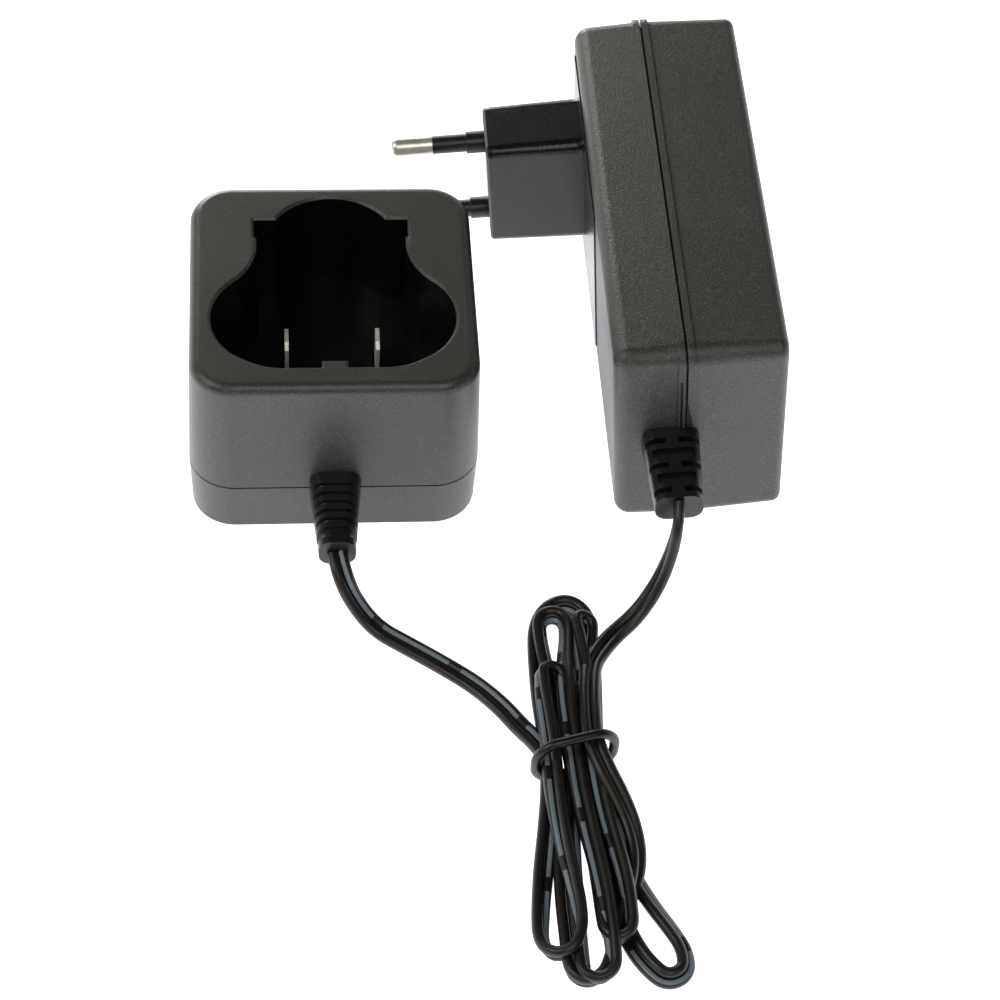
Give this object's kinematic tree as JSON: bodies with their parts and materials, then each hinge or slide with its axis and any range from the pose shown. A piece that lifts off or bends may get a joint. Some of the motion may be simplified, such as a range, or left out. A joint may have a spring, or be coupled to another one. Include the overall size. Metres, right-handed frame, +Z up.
{
  "type": "power tool battery charger",
  "caption": "Charging cup with a lobed battery well and blade contacts, joined by a flat lead in a tied hank to a pinned wall adapter lying on its side.",
  "frame": {"origin": "on the table, under the middle of the box round cup and adapter without the cord", "axes": "+Z up, +X from the cup to the adapter, -Y towards the side where both leads leave"},
  "size_m": [0.1124, 0.1919, 0.0482],
  "materials": {
    "black_casing": "fine spark-eroded texture",
    "black_plug": "fine satin",
    "soft_relief": "satin moulded",
    "contact_brass": "stamped",
    "nickel_pin": "nickel plated, bright",
    "pin_insulation": "satin",
    "screw_steel": "zinc plated",
    "board": "solder mask",
    "ferrite": "sintered",
    "winding": "taped",
    "can_sleeve": "shrink sleeve",
    "fuse_body": "ceramic-like",
    "package": "moulded epoxy",
    "choke_coil": "enamelled wire",
    "sink_plate": "mill finish",
    "wire_sleeve": "satin",
    "cord_jacket": "satin, one core with a dashed stripe",
    "tie_sleeve": "satin"
  },
  "bodies": {
    "root": {"cup_shell": "black_casing", "cup_base": "black_casing", "cup_screws": "screw_steel", "contact_blade_left": "contact_brass", "contact_blade_right": "contact_brass", "cup_board": "board", "cup_diode": "package", "cup_wire_left": "wire_sleeve", "cup_wire_right": "wire_sleeve", "cup_strain_relief": "soft_relief", "adapter_pin_shell": "black_casing", "adapter_cover_shell": "black_casing", "plug_insert": "black_plug", "plug_pin_upper": "nickel_pin", "plug_pin_lower": "nickel_pin", "pin_sleeve_upper": "pin_insulation", "pin_sleeve_lower": "pin_insulation", "adapter_board": "board", "transformer_core": "ferrite", "transformer_bobbin": "winding", "mains_capacitor": "can_sleeve", "output_capacitor": "can_sleeve", "mains_fuse": "fuse_body", "bridge_rectifier": "package", "interference_choke": "choke_coil", "heat_sink": "sink_plate", "switching_transistor": "package", "optocoupler": "package", "output_diode": "package", "output_wire_left": "wire_sleeve", "output_wire_right": "wire_sleeve", "adapter_strain_relief": "soft_relief", "cord_cup_lead": "cord_jacket", "cord_adapter_lead": "cord_jacket", "cord_hank": "cord_jacket", "cord_tie": "tie_sleeve"}
  },
  "joints": []
}
